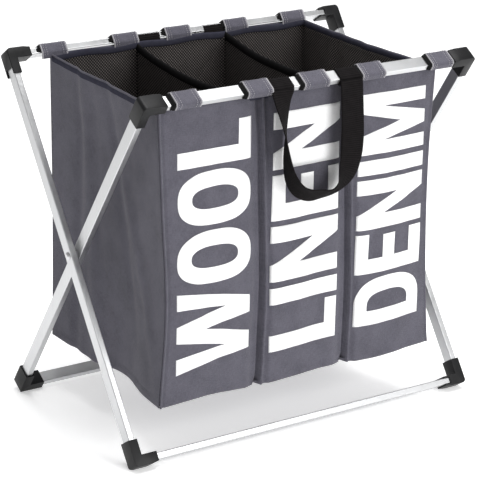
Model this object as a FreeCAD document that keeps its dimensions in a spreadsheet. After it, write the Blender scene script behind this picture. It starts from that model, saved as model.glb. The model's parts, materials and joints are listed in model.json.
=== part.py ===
import FreeCAD, Part
import Sketcher
import math
import os
import re

# Folding three-compartment laundry sorter: two crossed tube frames and a hanging fabric bag.
# Millimetres. X is across, -Y is the front, Z is up, and Z = 0 is the floor under the feet.

doc = FreeCAD.newDocument("LaundrySorter")

# ---------------------------------------------------------------- driving dimensions

sizes = doc.addObject("Spreadsheet::Sheet", "Sizes")
values = [
    ("LegSpan", 650, "bar centre to bar centre, along a leg"),
    ("LeanAngle", 34, "degrees between each leg and the vertical when open"),
    ("OuterWidth", 626, "over the legs of the frame that runs from the rear top to the front bottom"),
    ("InnerWidth", 600, "over the legs of the frame that runs from the front top to the rear bottom"),
    ("TubeWide", 20, "tube section, across the frame's plane"),
    ("TubeThin", 10, "tube section, in the frame's plane"),
    ("TubeWall", 1.2, "tube wall"),
    ("TubeRound", 1.5, "outside corner radius of the tube"),
    ("SleeveWall", 2.5, "corner connector wall"),
    ("SleeveFit", 0.1, "gap between tube and sleeve"),
    ("CapThick", 4.5, "connector wall outside the bar"),
    ("LegReach", 32, "sleeve on the leg, from the bar's centre"),
    ("BarReach", 38, "sleeve on the bar, from the leg's outer face"),
    ("StopWeb", 2, "stop at the end of each tube inside the connector"),
    ("CapBevel", 12, "length of the sloping end of the cap"),
    ("CornerRound", 6, "outer corner radius of the connector"),
    ("NotchDeep", 11, "how far a notched sleeve wall stands back from the sleeve's end"),
    ("FootFlat", 4, "width of the ground facet on each foot"),
    ("RivetDia", 6, "pivot rivet shank"),
    ("RivetHead", 12, "pivot rivet head"),
    ("HeadThick", 3, "pivot rivet head height"),
    ("PivotFit", 0.05, "radial running gap at the pivot"),
    ("SpacerDia", 16, "pivot spacer outside diameter"),
    ("EndGap", 0.1, "axial running gap at the pivot"),
    ("BagWidth", 504, "bag, outside, left to right"),
    ("BagInset", 7, "outer face of the hanging panels, inboard of the bar's centre"),
    ("BagHeight", 446, "height of the front and rear panels"),
    ("BagHang", 14, "top edge of the panels below the bar's centre"),
    ("FabricThick", 1.2, "woven polyester panel"),
    ("LiningThick", 0.8, "mesh lining"),
    ("SoftGap", 0.4, "gap between fabric pieces on different bodies"),
    ("BindingThick", 3, "edge binding, through the fabric"),
    ("BindingHigh", 9, "edge binding, top to bottom"),
    ("TabWide", 54, "fabric tab, along the bar"),
    ("MiddleTabWide", 64, "fabric tab at the middle of the front bar"),
    ("TabThick", 1.5, "fabric tab"),
    ("TabNear", 106, "tab beside the middle one, from the centre"),
    ("TabFar", 232, "outermost tab, from the centre"),
    ("VelcroThick", 0.8, "hook and loop layer under a tab"),
    ("WebWide", 36, "handle webbing where it crosses the bar"),
    ("WebThick", 2, "handle webbing thickness"),
    ("HandleHalf", 60, "handle strap, from the centre"),
    ("HandleDrop", 181, "handle loop below the bar's centre"),
    ("HandleNarrow", 26, "width of the folded grip of the handle"),
    ("HandleStand", 17, "handle plane, out from the bar's centre"),
    ("HandleRound", 30, "corner radius of the handle loop"),
]
for row, (alias, number, note) in enumerate(values, start=1):
    sizes.set(f"A{row}", alias)
    sizes.set(f"B{row}", str(number))
    sizes.set(f"C{row}", note)
    sizes.setAlias(f"B{row}", alias)
doc.recompute()

aliases = sorted((v[0] for v in values), key=len, reverse=True)
aliasPattern = re.compile(r"\b(" + "|".join(aliases) + r")\b")

# Lengths that several pieces share, written with the sheet's names.
halfSpan = "(LegSpan / 2)"
riseHalf = f"({halfSpan} * cos(LeanAngle))"
depthHalf = f"({halfSpan} * sin(LeanAngle))"
capFace = f"({halfSpan} + TubeThin / 2 + CapThick)"
sleeveHalf = "(TubeWide / 2 + SleeveWall)"
pivotHeight = (
    f"({capFace} * cos(LeanAngle) + {sleeveHalf} * sin(LeanAngle)"
    " - FootFlat * sin(LeanAngle) * cos(LeanAngle))"
)
topBarHeight = f"({pivotHeight} + {riseHalf})"
panelTop = f"({topBarHeight} - BagHang)"
panelBottom = f"({panelTop} - BagHeight)"
panelFace = f"({depthHalf} - BagInset)"
compartment = "(BagWidth / 3)"


def bound(expression):
    """The expression with each size name pointing at the sheet."""
    return aliasPattern.sub(r"Sizes.\1", str(expression))


def number(expression):
    """The present value of an expression."""
    result = sizes.evalExpression(aliasPattern.sub(r"\1", str(expression)))
    return float(getattr(result, "Value", result))


# ---------------------------------------------------------------- helpers

nodes = []


def placeOnFrame(body, frame):
    """Leans a piece that is modelled upright about the pivot: outer tops to the rear, inner to the front."""
    axis = FreeCAD.Vector(-1, 0, 0) if frame == "outer" else FreeCAD.Vector(1, 0, 0)
    body.Placement = FreeCAD.Placement(FreeCAD.Vector(), FreeCAD.Rotation(axis, number("LeanAngle")))
    body.setExpression("Placement.Rotation.Angle", bound("LeanAngle"))
    body.setExpression("Placement.Base.z", bound(pivotHeight))


def newBody(label):
    body = doc.addObject("PartDesign::Body", label)
    body.Label = label
    body.AllowCompound = True
    nodes.append(body)
    return body


def originPlane(body, role):
    return [item for item in body.Origin.OriginFeatures if item.Role == role][0]


def sketchOn(body, role, name):
    sketch = body.newObject("Sketcher::SketchObject", name)
    sketch.AttachmentSupport = [(originPlane(body, role), "")]
    sketch.MapMode = "FlatFace"
    return sketch


def outline(sketch, points):
    """A closed outline; each point is a pair of expressions measured from the sketch's origin."""
    places = [FreeCAD.Vector(number(u), number(v), 0) for u, v in points]
    first = sketch.GeometryCount
    count = len(points)
    for i in range(count):
        sketch.addGeometry(Part.LineSegment(places[i], places[(i + 1) % count]), False)
    for i in range(count):
        following = first + (i + 1) % count
        sketch.addConstraint(Sketcher.Constraint("Coincident", first + i, 2, following, 1))
    for i, (u, v) in enumerate(points):
        for kind, expression, size in (("DistanceX", u, places[i].x), ("DistanceY", v, places[i].y)):
            index = sketch.addConstraint(Sketcher.Constraint(kind, -1, 1, first + i, 1, size))
            sketch.setExpression(f"Constraints[{index}]", bound(expression))


def rectangle(sketch, u0, v0, u1, v1):
    outline(sketch, [(u0, v0), (u1, v0), (u1, v1), (u0, v1)])


def circle(sketch, u, v, radius):
    centre = FreeCAD.Vector(number(u), number(v), 0)
    shape = Part.Circle(centre, FreeCAD.Vector(0, 0, 1), number(radius))
    geo = sketch.addGeometry(shape, False)
    for kind, expression, size in (("DistanceX", u, centre.x), ("DistanceY", v, centre.y)):
        index = sketch.addConstraint(Sketcher.Constraint(kind, -1, 1, geo, 3, size))
        sketch.setExpression(f"Constraints[{index}]", bound(expression))
    index = sketch.addConstraint(Sketcher.Constraint("Radius", geo, number(radius)))
    sketch.setExpression(f"Constraints[{index}]", bound(radius))


def pad(body, sketch, name, length):
    """A pad of the whole length, half to each side of the sketch's plane."""
    feature = body.newObject("PartDesign::Pad", name)
    feature.Profile = sketch
    feature.Midplane = True
    feature.Length = number(length)
    feature.setExpression("Length", bound(length))
    doc.recompute()
    return feature


def cutThrough(body, sketch, name):
    """A pocket right through, both ways from the sketch's plane."""
    before = body.Shape.Volume
    feature = body.newObject("PartDesign::Pocket", name)
    feature.Profile = sketch
    feature.Midplane = True
    feature.Type = 1
    doc.recompute()
    if body.Shape.Volume >= before:
        raise RuntimeError(f"{body.Label}: {name} cut nothing")
    return feature


def cutBox(body, name, low, high):
    """A box-shaped cut between two corners, given as expressions in the body's own axes."""
    before = body.Shape.Volume
    feature = body.newObject("PartDesign::SubtractiveBox", name)
    for size, lowEnd, highEnd in zip(("Length", "Width", "Height"), low, high):
        feature.setExpression(size, bound(f"({highEnd}) - ({lowEnd})"))
    for axis, lowEnd in zip("xyz", low):
        feature.setExpression(f"Placement.Base.{axis}", bound(lowEnd))
    doc.recompute()
    if body.Shape.Volume >= before:
        raise RuntimeError(f"{body.Label}: {name} cut nothing")
    return feature


def block(label, low, high):
    """A flat fabric piece: a box between two corners, given as expressions."""
    box = doc.addObject("Part::Box", label)
    box.Label = label
    for size, lowEnd, highEnd in zip(("Length", "Width", "Height"), low, high):
        box.setExpression(size, bound(f"({highEnd}) - ({lowEnd})"))
    for axis, lowEnd in zip("xyz", low):
        box.setExpression(f"Placement.Base.{axis}", bound(lowEnd))
    nodes.append(box)
    return box


def longEdges(shape, direction):
    """Names of the straight edges that run along a direction, either way."""
    names = []
    for index, edge in enumerate(shape.Edges, start=1):
        angle = (edge.Vertexes[1].Point - edge.Vertexes[0].Point).getAngle(direction)
        if min(angle, math.pi - angle) < 0.01:
            names.append(f"Edge{index}")
    return names


def mirrored(side, low, high):
    """A span between two distances from the centre, in rising order on the chosen side."""
    return (low, high) if side > 0 else (f"-({high})", f"-({low})")


# ---------------------------------------------------------------- tube frames

across = FreeCAD.Vector(1, 0, 0)
along = FreeCAD.Vector(0, 0, 1)
frameWidth = {"outer": "OuterWidth", "inner": "InnerWidth"}


def roundTube(body, feature, direction):
    """Rounds the four long outside edges of a tube, before it is hollowed."""
    fillet = body.newObject("PartDesign::Fillet", "Rounding")
    fillet.Base = (feature, longEdges(feature.Shape, direction))
    fillet.Radius = number("TubeRound")
    fillet.setExpression("Radius", bound("TubeRound"))
    doc.recompute()


def legTube(label, frame, side):
    """A leg: rectangular tube along the frame's own Z, with the pivot hole at its middle."""
    outerFace = f"{side} * {frameWidth[frame]} / 2"
    innerFace = f"{side} * ({frameWidth[frame]} / 2 - TubeThin)"
    boreOuter = f"{side} * ({frameWidth[frame]} / 2 - TubeWall)"
    boreInner = f"{side} * ({frameWidth[frame]} / 2 - TubeThin + TubeWall)"
    length = "LegSpan - 2 * StopWeb"
    body = newBody(label)
    section = sketchOn(body, "XY_Plane", "Section")
    rectangle(section, outerFace, "-TubeWide / 2", innerFace, "TubeWide / 2")
    solid = pad(body, section, "Length", length)
    roundTube(body, solid, along)
    bore = sketchOn(body, "XY_Plane", "BoreSection")
    rectangle(bore, boreOuter, "-(TubeWide / 2 - TubeWall)", boreInner, "TubeWide / 2 - TubeWall")
    cutThrough(body, bore, "Bore")
    hole = sketchOn(body, "YZ_Plane", "PivotHoleOutline")
    circle(hole, 0, 0, "RivetDia / 2 + PivotFit")
    cutThrough(body, hole, "PivotHole")
    placeOnFrame(body, frame)


def crossBar(label, frame, level):
    """A bar between the two legs, held at both ends by the connectors."""
    centre = f"{level} * {halfSpan}"
    body = newBody(label)
    section = sketchOn(body, "YZ_Plane", "Section")
    low = f"{centre} - TubeThin / 2"
    high = f"{centre} + TubeThin / 2"
    rectangle(section, "-TubeWide / 2", low, "TubeWide / 2", high)
    solid = pad(body, section, "Length", f"{frameWidth[frame]} - 2 * TubeThin - 2 * StopWeb")
    roundTube(body, solid, across)
    bore = sketchOn(body, "YZ_Plane", "BoreSection")
    rectangle(bore, "-(TubeWide / 2 - TubeWall)", f"{low} + TubeWall",
              "TubeWide / 2 - TubeWall", f"{high} - TubeWall")
    cutThrough(body, bore, "Bore")
    placeOnFrame(body, frame)


def connector(label, frame, side, level, notch=None):
    """A moulded L that takes the end of a leg and the end of a bar; the lower ones are the feet.
    A notch cuts back the front wall of the bar's sleeve, or the outer wall of the leg's."""
    half = f"{frameWidth[frame]} / 2"
    wallOut = f"{side} * ({half} + SleeveWall)"
    wallIn = f"{side} * ({half} - TubeThin - SleeveWall)"
    barEnd = f"{side} * ({half} - BarReach)"
    bevelStart = f"{side} * ({half} - BarReach + CapBevel)"
    cap = f"{level} * {capFace}"
    capEnd = f"{level} * ({halfSpan} + TubeThin / 2 + SleeveWall)"
    barUnder = f"{level} * ({halfSpan} - TubeThin / 2 - SleeveWall)"
    legEnd = f"{level} * ({halfSpan} - LegReach)"
    body = newBody(label)
    shape = sketchOn(body, "XZ_Plane", "Outline")
    outline(shape, [(wallOut, cap), (bevelStart, cap), (barEnd, capEnd), (barEnd, barUnder),
                    (wallIn, barUnder), (wallIn, legEnd), (wallOut, legEnd)])
    solid = pad(body, shape, "Moulding", f"2 * {sleeveHalf}")
    corner = FreeCAD.Vector(number(wallOut), 0, number(cap))
    rounded = []
    for index, edge in enumerate(solid.Shape.Edges, start=1):
        middle = edge.CenterOfMass
        if abs(middle.x - corner.x) < 0.01 and abs(middle.z - corner.z) < 0.01:
            rounded.append(f"Edge{index}")
    fillet = body.newObject("PartDesign::Fillet", "OuterCorner")
    fillet.Base = (solid, rounded)
    fillet.Radius = number("CornerRound")
    fillet.setExpression("Radius", bound("CornerRound"))
    doc.recompute()

    tubeOut = f"{half} + SleeveFit"
    tubeIn = f"{half} - TubeThin - SleeveFit"
    bed = "(TubeWide / 2 + SleeveFit)"
    legXs = mirrored(side, tubeIn, tubeOut)
    legZs = mirrored(level, f"{halfSpan} - LegReach", f"{halfSpan} - StopWeb")
    cutBox(body, "LegSocket", (legXs[0], f"-{bed}", legZs[0]), (legXs[1], bed, legZs[1]))
    barXs = mirrored(side, f"{half} - BarReach", f"{half} - TubeThin - StopWeb")
    barZs = mirrored(level, f"{halfSpan} - TubeThin / 2 - SleeveFit",
                     f"{halfSpan} + TubeThin / 2 + SleeveFit")
    cutBox(body, "BarSocket", (barXs[0], f"-{bed}", barZs[0]), (barXs[1], bed, barZs[1]))
    if notch == "bar":
        notchXs = mirrored(side, f"{half} - BarReach", f"{half} - BarReach + NotchDeep")
        cutBox(body, "BarNotch", (notchXs[0], f"-{sleeveHalf}", barZs[0]), (notchXs[1], f"-{bed}", barZs[1]))
    if notch == "leg":
        notchXs = mirrored(side, tubeOut, f"{half} + SleeveWall")
        notchZs = mirrored(level, f"{halfSpan} - LegReach", f"{halfSpan} - LegReach + NotchDeep")
        cutBox(body, "LegNotch", (notchXs[0], f"-{bed}", notchZs[0]), (notchXs[1], bed, notchZs[1]))

    if level < 0:
        low = 1 if frame == "outer" else -1
        edge = f"{low} * {sleeveHalf}"
        facet = sketchOn(body, "YZ_Plane", "GroundFacet")
        outline(facet, [(edge, f"-{capFace}"),
                        (f"{low} * ({sleeveHalf} - FootFlat * cos(LeanAngle))", f"-{capFace}"),
                        (edge, f"-{capFace} + FootFlat * sin(LeanAngle)")])
        cutThrough(body, facet, "GroundCut")
    placeOnFrame(body, frame)


for frame in ("outer", "inner"):
    for side, hand in ((-1, "left"), (1, "right")):
        legTube(f"{frame}_{hand}_leg", frame, side)
crossBar("rear_top_bar", "outer", 1)
crossBar("front_bottom_bar", "outer", -1)
crossBar("front_top_bar", "inner", 1)
crossBar("rear_bottom_bar", "inner", -1)
connector("rear_top_left_connector", "outer", -1, 1, notch="leg")
connector("rear_top_right_connector", "outer", 1, 1, notch="bar")
connector("front_left_foot_connector", "outer", -1, -1)
connector("front_right_foot_connector", "outer", 1, -1, notch="bar")
connector("front_top_left_connector", "inner", -1, 1)
connector("front_top_right_connector", "inner", 1, 1)
connector("rear_left_foot_connector", "inner", -1, -1)
connector("rear_right_foot_connector", "inner", 1, -1)


# ---------------------------------------------------------------- pivots

def revolve(label, profiles):
    """Turned pieces about the pivot axis; each profile is drawn in X and Z, with Z as its radius."""
    body = newBody(label)
    sketch = sketchOn(body, "XZ_Plane", "Profile")
    for profile in profiles:
        outline(sketch, profile)
    feature = body.newObject("PartDesign::Revolution", "Turned")
    feature.Profile = sketch
    feature.ReferenceAxis = (sketch, ["H_Axis"])
    feature.Angle = 360
    doc.recompute()
    body.setExpression("Placement.Base.z", bound(pivotHeight))


def rivetProfile(side):
    outside = f"{side} * OuterWidth / 2"
    inside = f"{side} * (InnerWidth / 2 - TubeThin - EndGap)"
    return [
        (f"{side} * (OuterWidth / 2 + HeadThick)", 0),
        (f"{side} * (OuterWidth / 2 + HeadThick)", "RivetHead / 4"),
        (f"{side} * (OuterWidth / 2 + HeadThick / 3)", "RivetHead / 2"),
        (outside, "RivetHead / 2"),
        (outside, "RivetDia / 2"),
        (inside, "RivetDia / 2"),
        (inside, "RivetHead / 2.4"),
        (f"{side} * (InnerWidth / 2 - TubeThin - EndGap - HeadThick / 2)", "RivetHead / 2.4"),
        (f"{side} * (InnerWidth / 2 - TubeThin - EndGap - HeadThick / 2)", 0),
    ]


def spacerProfile(side):
    outside = f"{side} * (OuterWidth / 2 - TubeThin)"
    inside = f"{side} * (InnerWidth / 2 + EndGap)"
    return [
        (outside, "RivetDia / 2 + PivotFit"),
        (outside, "SpacerDia / 2"),
        (inside, "SpacerDia / 2"),
        (inside, "RivetDia / 2 + PivotFit"),
    ]


revolve("pivot_rivets", [rivetProfile(-1), rivetProfile(1)])
revolve("pivot_spacers", [spacerProfile(-1), spacerProfile(1)])


# ---------------------------------------------------------------- tabs and strap ends on the top bars

bandInside = ("(TubeWide / 2 + VelcroThick)", "(TubeThin / 2 + VelcroThick)")


def barBands(label, frame, bands):
    """Closed bands of fabric or webbing round a top bar; each band is a centre and a width."""
    body = newBody(label)
    acrossHalf = f"({bandInside[0]} + TabThick)"
    upHalf = f"({bandInside[1]} + TabThick)"
    plan = sketchOn(body, "XZ_Plane", "Bands")
    for centre, width in bands:
        rectangle(plan, f"{centre} - {width} / 2", f"{halfSpan} - {upHalf}",
                  f"{centre} + {width} / 2", f"{halfSpan} + {upHalf}")
    pad(body, plan, "BandSolids", f"2 * {acrossHalf}")
    cutBox(body, "BarSpace", ("-BagWidth", f"-{bandInside[0]}", f"{halfSpan} - {bandInside[1]}"),
           ("BagWidth", bandInside[0], f"{halfSpan} + {bandInside[1]}"))
    placeOnFrame(body, frame)


def velcroPatches(label, frame, bands, outward):
    """The hook and loop layer between each tab and the bar's outward face; outward is that face's sign."""
    body = newBody(label)
    plan = sketchOn(body, "XZ_Plane", "Patches")
    for centre, width in bands:
        rectangle(plan, f"{centre} - {width} / 2", f"{halfSpan} - TubeThin / 2",
                  f"{centre} + {width} / 2", f"{halfSpan} + TubeThin / 2")
    pad(body, plan, "PatchSolids", "TubeWide + 2 * VelcroThick")
    low, high = mirrored(-outward, "-TubeWide / 2", "TubeWide")
    cutBox(body, "OtherSide", ("-BagWidth", low, f"{halfSpan} - TubeThin"),
           ("BagWidth", high, f"{halfSpan} + TubeThin"))
    placeOnFrame(body, frame)


for frame, prefix, outward in (("inner", "front", -1), ("outer", "rear", 1)):
    middleWide = "MiddleTabWide" if prefix == "front" else "TabWide"
    tabs = [("-TabFar", "TabWide"), ("-TabNear", "TabWide"), ("0", middleWide),
            ("TabNear", "TabWide"), ("TabFar", "TabWide")]
    for place, tab in enumerate(tabs, start=1):
        barBands(f"{prefix}_tab_{place}", frame, [tab])
    velcroPatches(f"{prefix}_tab_velcro", frame, tabs, outward)
    straps = [("-HandleHalf", "WebWide"), ("HandleHalf", "WebWide")]
    barBands(f"{prefix}_handle_anchors", frame, straps)


# ---------------------------------------------------------------- bag

bagHalf = "BagWidth / 2"
frontFace = f"-{panelFace}"
frontInner = f"(-{panelFace} + FabricThick)"
rearInner = f"({panelFace} - FabricThick)"
frontLined = f"(-{panelFace} + FabricThick + LiningThick)"
rearLined = f"({panelFace} - FabricThick - LiningThick)"
bindingLow = f"({panelTop} - BindingHigh)"

block("front_panel", (f"-{bagHalf}", frontFace, panelBottom), (bagHalf, frontInner, panelTop))
block("front_lining", (f"-{bagHalf}", frontInner, panelBottom), (bagHalf, frontLined, bindingLow))
block("front_binding", (f"-{bagHalf}", frontInner, bindingLow),
      (bagHalf, f"-{panelFace} + FabricThick + BindingThick", panelTop))
block("rear_panel", (f"-{bagHalf}", rearInner, panelBottom), (bagHalf, panelFace, panelTop))
block("rear_lining", (f"-{bagHalf}", rearLined, panelBottom), (bagHalf, rearInner, bindingLow))
block("rear_binding", (f"-{bagHalf}", f"{panelFace} - FabricThick - BindingThick", bindingLow),
      (bagHalf, rearInner, panelTop))

wallFront = f"({frontLined} + BindingThick + SoftGap)"
wallRear = f"({rearLined} - BindingThick)"
floorTop = f"({panelBottom} + FabricThick)"
for side, hand in ((-1, "left"), (1, "right")):
    panelXs = mirrored(side, f"{bagHalf} - FabricThick", bagHalf)
    liningXs = mirrored(side, f"{bagHalf} - FabricThick - LiningThick", f"{bagHalf} - FabricThick")
    edgeXs = mirrored(side, f"{bagHalf} - BindingThick", bagHalf)
    dividerXs = mirrored(side, f"({compartment} - LiningThick) / 2",
                         f"({compartment} + LiningThick) / 2")
    dividerEdgeXs = mirrored(side, f"({compartment} - BindingThick) / 2",
                             f"({compartment} + BindingThick) / 2")
    for name, xs, low, high in (
        ("side_panel", panelXs, floorTop, bindingLow),
        ("side_lining", liningXs, floorTop, bindingLow),
        ("side_binding", edgeXs, bindingLow, panelTop),
        ("divider", dividerXs, floorTop, bindingLow),
        ("divider_binding", dividerEdgeXs, bindingLow, panelTop),
    ):
        block(f"{hand}_{name}", (xs[0], wallFront, low), (xs[1], wallRear, high))
block("bag_floor", (f"-{bagHalf}", wallFront, panelBottom), (bagHalf, wallRear, floorTop))


# ---------------------------------------------------------------- handles

def handleLoop(label, face):
    """A webbing loop that hangs outside a top bar."""
    body = newBody(label)
    sketch = sketchOn(body, "XZ_Plane", "Loop")
    half = "(HandleHalf + HandleNarrow / 2)"
    grip = "(HandleHalf - HandleNarrow / 2)"
    outline(sketch, [(f"-{half}", 0), (f"-{half}", "-HandleDrop + HandleRound"),
                     (f"-{half} + HandleRound", "-HandleDrop"), (f"{half} - HandleRound", "-HandleDrop"),
                     (half, "-HandleDrop + HandleRound"), (half, 0),
                     (grip, 0), (grip, "-HandleDrop + HandleRound"),
                     (f"{half} - HandleRound", "-HandleDrop + HandleNarrow"),
                     (f"-{half} + HandleRound", "-HandleDrop + HandleNarrow"),
                     (f"-{grip}", "-HandleDrop + HandleRound"), (f"-{grip}", 0)])
    pad(body, sketch, "Webbing", "WebThick")
    body.setExpression("Placement.Base.y", bound(f"{face} * ({depthHalf} + HandleStand)"))
    body.setExpression("Placement.Base.z", bound(topBarHeight))


handleLoop("front_handle", -1)
handleLoop("rear_handle", 1)


# ---------------------------------------------------------------- checks and export

doc.recompute()
for item in doc.Objects:
    if "Invalid" in item.State or "Error" in item.State:
        raise RuntimeError(f"{item.Label} did not recompute: {item.State}")
for node in nodes:
    if node.Shape.isNull() or not node.Shape.isValid():
        raise RuntimeError(f"{node.Label} has no valid shape")
os.makedirs("parts", exist_ok=True)
for node in nodes:
    node.Shape.exportStep(f"parts/{node.Label}.step")
print(len(nodes), "nodes written")
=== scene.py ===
import json
from math import cos, exp, pi, radians, sin
import bmesh
import bpy
from mathutils import Matrix, Vector, noise

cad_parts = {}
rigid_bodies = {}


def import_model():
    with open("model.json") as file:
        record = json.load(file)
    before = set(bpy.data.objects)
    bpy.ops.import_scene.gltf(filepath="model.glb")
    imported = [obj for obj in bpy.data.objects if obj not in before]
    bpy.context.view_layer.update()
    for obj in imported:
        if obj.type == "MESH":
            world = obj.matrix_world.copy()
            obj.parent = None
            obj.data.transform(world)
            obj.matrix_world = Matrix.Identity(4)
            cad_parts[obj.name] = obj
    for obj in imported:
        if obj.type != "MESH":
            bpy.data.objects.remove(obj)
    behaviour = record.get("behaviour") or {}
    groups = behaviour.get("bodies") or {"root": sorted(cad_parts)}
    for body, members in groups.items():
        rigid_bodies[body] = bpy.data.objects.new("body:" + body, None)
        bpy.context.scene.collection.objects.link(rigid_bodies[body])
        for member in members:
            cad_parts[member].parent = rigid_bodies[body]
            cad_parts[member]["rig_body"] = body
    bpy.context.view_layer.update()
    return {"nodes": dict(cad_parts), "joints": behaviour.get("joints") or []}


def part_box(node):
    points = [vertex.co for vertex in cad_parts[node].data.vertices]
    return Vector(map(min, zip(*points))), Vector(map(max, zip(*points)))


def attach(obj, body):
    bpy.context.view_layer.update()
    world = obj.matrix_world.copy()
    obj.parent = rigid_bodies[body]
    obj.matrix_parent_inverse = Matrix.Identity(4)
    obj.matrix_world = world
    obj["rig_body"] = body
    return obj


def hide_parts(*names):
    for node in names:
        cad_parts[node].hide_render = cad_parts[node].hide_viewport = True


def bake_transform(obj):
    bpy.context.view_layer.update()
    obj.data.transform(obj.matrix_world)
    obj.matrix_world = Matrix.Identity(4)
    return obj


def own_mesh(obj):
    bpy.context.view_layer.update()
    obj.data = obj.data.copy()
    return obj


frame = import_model()
nodes = frame["nodes"]
joints = {j["name"]: j for j in frame["joints"]}

# Where things are, read from the frame. Metres, -Y is the front.
panelLow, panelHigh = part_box("front_panel")
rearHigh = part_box("rear_panel")[1]
pivot = Vector(joints["frame_fold"]["pos_m"])
frontBar = Vector(joints["bag_front_hang"]["pos_m"])
rearBar = Vector((0, -frontBar.y, frontBar.z))
lean = radians(34)  # each leg from the vertical
place = {
    "frontY": panelLow.y,      # outer face of the front panel
    "rearY": rearHigh.y,       # outer face of the rear panel
    "top": panelHigh.z,
    "bottom": panelLow.z,
}
print("frame loaded:", len(nodes), "nodes")


# Small tools.

def smoothLine(points, t):
    # A smooth line through a few evenly spaced values or vectors, t from 0 to 1.
    count = len(points) - 1
    along = min(max(t, 0), 1) * count
    i = min(int(along), count - 1)
    f = along - i
    b, c = points[i], points[i + 1]
    a = points[i - 1] if i > 0 else b * 2 - c
    d = points[i + 2] if i + 2 <= count else c * 2 - b
    return (b * 2 + (c - a) * f + (a * 2 - b * 5 + c * 4 - d) * f ** 2
            + (b * 3 - a - c * 3 + d) * f ** 3) * 0.5


def hump(x, centre, width):
    return exp(-((x - centre) / width) ** 2)


def ramp(x, low, high):
    t = min(max((x - low) / (high - low), 0), 1)
    return t * t * (3 - 2 * t)


def wrinkle(x, y, z, size, stretch=1.0):
    # Soft noise between -1 and 1; size is the width of a fold, stretch its length in Z.
    return noise.noise(Vector((x / size, y / size, z / size / stretch)))


def makePiece(name, bm, finish, body, replaced=()):
    mesh = bpy.data.meshes.new(name)
    bm.to_mesh(mesh)
    bm.free()
    piece = bpy.data.objects.new(name, mesh)
    bpy.context.scene.collection.objects.link(piece)
    for material in (finish if isinstance(finish, (list, tuple)) else [finish]):
        mesh.materials.append(material)
    for face in mesh.polygons:
        face.use_smooth = True
    if body:
        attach(piece, body)
    if replaced:
        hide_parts(*replaced)
    return piece


def clothGrid(columns, rows, size, shape):
    # A sheet of cloth: shape(u, v) gives its place, and its UV map is the cut cloth in metres.
    bm = bmesh.new()
    bmesh.ops.create_grid(bm, x_segments=columns, y_segments=rows, size=0.5)
    uv = bm.loops.layers.uv.new("cloth")
    for face in bm.faces:
        for loop in face.loops:
            loop[uv].uv = ((loop.vert.co.x + 0.5) * size[0], (loop.vert.co.y + 0.5) * size[1])
    for vert in bm.verts:
        vert.co = shape(vert.co.x + 0.5, vert.co.y + 0.5)
    return bm


def thicken(piece, thickness, offset=-1.0):
    solid = piece.modifiers.new("thickness", "SOLIDIFY")
    solid.thickness = thickness
    solid.offset = offset
    return piece


def addStitches(bm, points, size=0.0026, gap=0.0011, thick=0.00042, material=1):
    # A row of stitches along a list of points, each one a small spindle of thread.
    travelled, spacing = 0.0, size + gap
    for a, b in zip(points, points[1:]):
        length = (b - a).length
        while travelled < length:
            middle = a.lerp(b, travelled / length)
            turn = (b - a).to_track_quat("X", "Z").to_matrix().to_4x4()
            made = bmesh.ops.create_uvsphere(bm, u_segments=6, v_segments=4, radius=0.5)
            scale = Matrix.Diagonal((size, thick * 1.6, thick * 1.6, 1))
            bmesh.ops.transform(bm, verts=made["verts"], matrix=Matrix.Translation(middle) @ turn @ scale)
            for vert in made["verts"]:
                for face in vert.link_faces:
                    face.material_index = material
            travelled += spacing
        travelled -= length


# Finishes.

class Finish:
    # A small wrapper that keeps a material's nodes readable.
    def __init__(self, name, colour, roughness, metallic=0.0):
        self.material = bpy.data.materials.new(name)
        self.material.use_nodes = True
        self.material.diffuse_color = (*colour, 1)
        self.nodes = self.material.node_tree.nodes
        self.links = self.material.node_tree.links
        self.shader = self.nodes["Principled BSDF"]
        self.set("Base Color", (*colour, 1))
        self.set("Roughness", roughness)
        self.set("Metallic", metallic)

    def set(self, socket, value):
        self.shader.inputs[socket].default_value = value

    def node(self, kind, **values):
        made = self.nodes.new("ShaderNode" + kind)
        for key, value in values.items():
            if hasattr(made, key):
                setattr(made, key, value)
            else:
                made.inputs[key.replace("_", " ")].default_value = value
        return made

    def join(self, source, target):
        self.links.new(source, target)

    def math(self, operation, a, b=None):
        made = self.node("Math", operation=operation)
        for index, value in enumerate((a, b)):
            if value is None:
                continue
            if isinstance(value, (int, float)):
                made.inputs[index].default_value = value
            else:
                self.join(value, made.inputs[index])
        return made.outputs[0]

    def coordinates(self, kind="Object", location=(0, 0, 0), rotation=(0, 0, 0), scale=(1, 1, 1)):
        mapping = self.node("Mapping")
        mapping.inputs["Location"].default_value = location
        mapping.inputs["Rotation"].default_value = rotation
        mapping.inputs["Scale"].default_value = scale
        if kind == "Object":
            self.join(self.node("TexCoord").outputs["Object"], mapping.inputs["Vector"])
        else:
            self.join(self.node("UVMap", uv_map=kind).outputs["UV"], mapping.inputs["Vector"])
        return mapping.outputs["Vector"]

    def noise(self, where, scale, detail=4.0, roughness=0.55):
        made = self.node("TexNoise", Scale=scale, Detail=detail, Roughness=roughness)
        self.join(where, made.inputs["Vector"])
        return made.outputs["Fac"]

    def spread(self, value, fromLow, fromHigh, toLow, toHigh):
        made = self.node("MapRange", From_Min=fromLow, From_Max=fromHigh, To_Min=toLow, To_Max=toHigh)
        self.join(value, made.inputs["Value"])
        return made.outputs["Result"]

    def tint(self, factor, low, high):
        made = self.node("Mix", data_type="RGBA")
        self.join(factor, made.inputs["Factor"])
        made.inputs["A"].default_value = (*low, 1)
        made.inputs["B"].default_value = (*high, 1)
        colour = next(o for o in made.outputs if o.type == "RGBA")
        self.join(colour, self.shader.inputs["Base Color"])

    def bump(self, height, strength, distance, after=None):
        made = self.node("Bump", Strength=strength, Distance=distance)
        self.join(height, made.inputs["Height"])
        if after is not None:
            self.join(after, made.inputs["Normal"])
        self.join(made.outputs["Normal"], self.shader.inputs["Normal"])
        return made.outputs["Normal"]


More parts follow.
